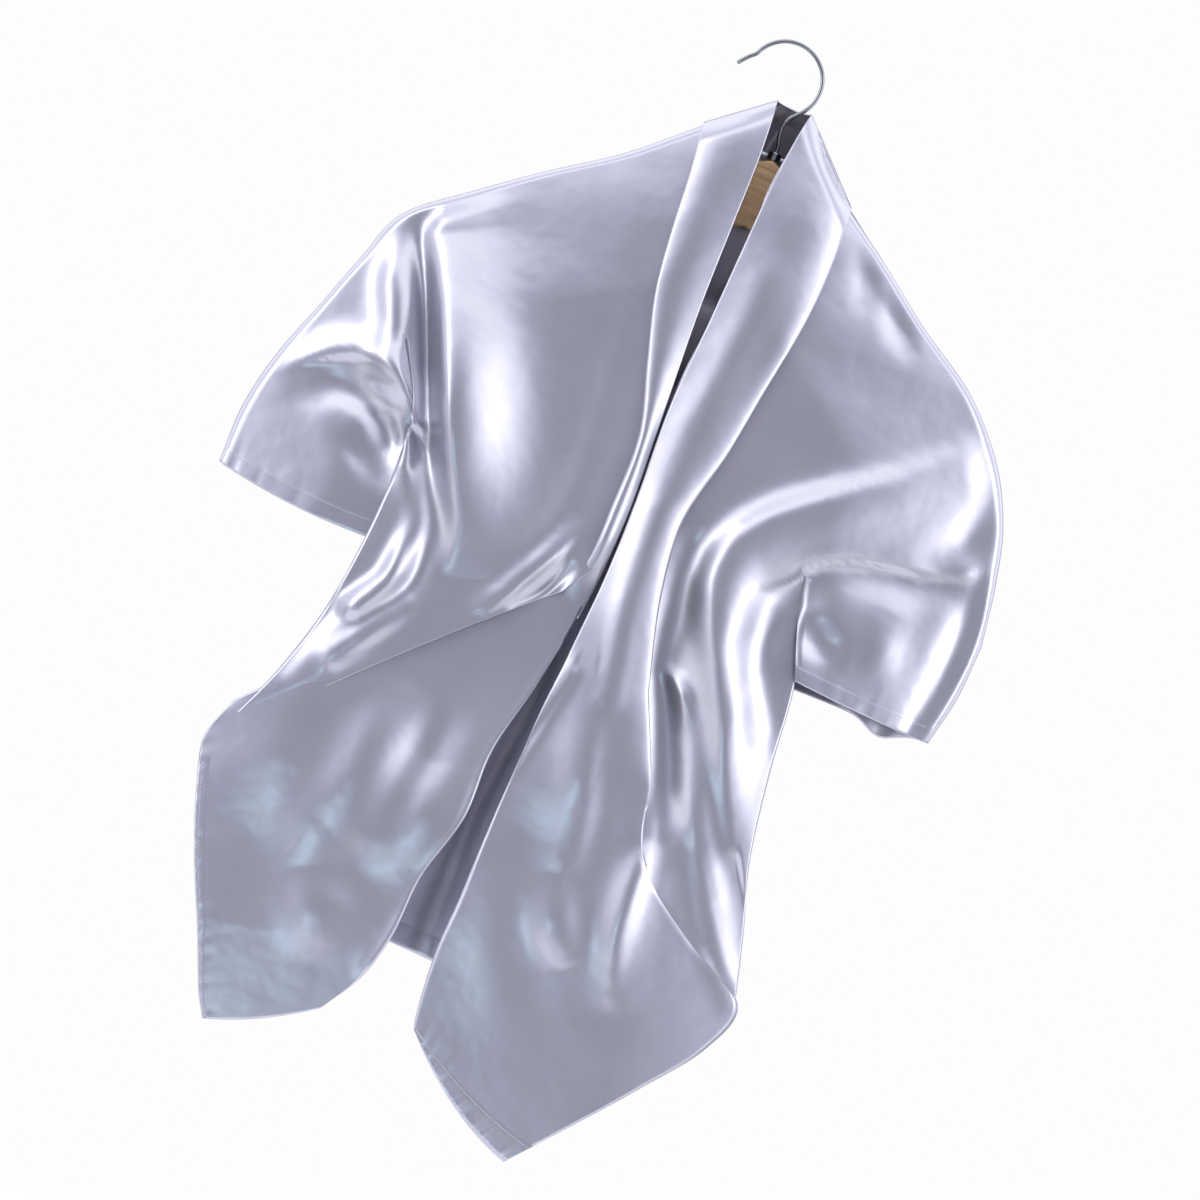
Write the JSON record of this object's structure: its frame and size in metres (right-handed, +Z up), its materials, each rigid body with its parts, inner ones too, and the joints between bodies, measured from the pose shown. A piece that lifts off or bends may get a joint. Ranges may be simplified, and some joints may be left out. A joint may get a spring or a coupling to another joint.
{
  "type": "evening stole on hanger",
  "caption": "Silver satin evening stole draped over a wooden hanger, with a turned-out shawl collar, sleeve-like sides and hanging front ends.",
  "frame": {"origin": "inside of the hook's crown, where it rests on a rail", "axes": "+Z up, -Y the front of the stole, +X to the viewer's right"},
  "size_m": [0.5465, 0.0937, 0.8038],
  "materials": {
    "satin": "glossy satin weave",
    "satin_hem": "satin, turned and machine stitched",
    "beech": "lacquered",
    "chrome": "polished wire"
  },
  "bodies": {
    "root": {"back_panel": "satin", "back_tail": "satin", "nape_collar": "satin", "lapel_left": "satin", "lapel_right": "satin", "front_left": "satin", "front_right": "satin", "sleeve_left": "satin", "sleeve_right": "satin", "drape_left": "satin", "drape_right": "satin", "end_left": "satin", "end_right": "satin", "sleeve_hem_left": "satin_hem", "sleeve_hem_right": "satin_hem", "end_hem_left": "satin_hem", "end_hem_right": "satin_hem", "tail_hem": "satin_hem", "hanger_wood": "beech", "hanger_hook": "chrome", "hanger_ferrule": "chrome"}
  },
  "joints": []
}
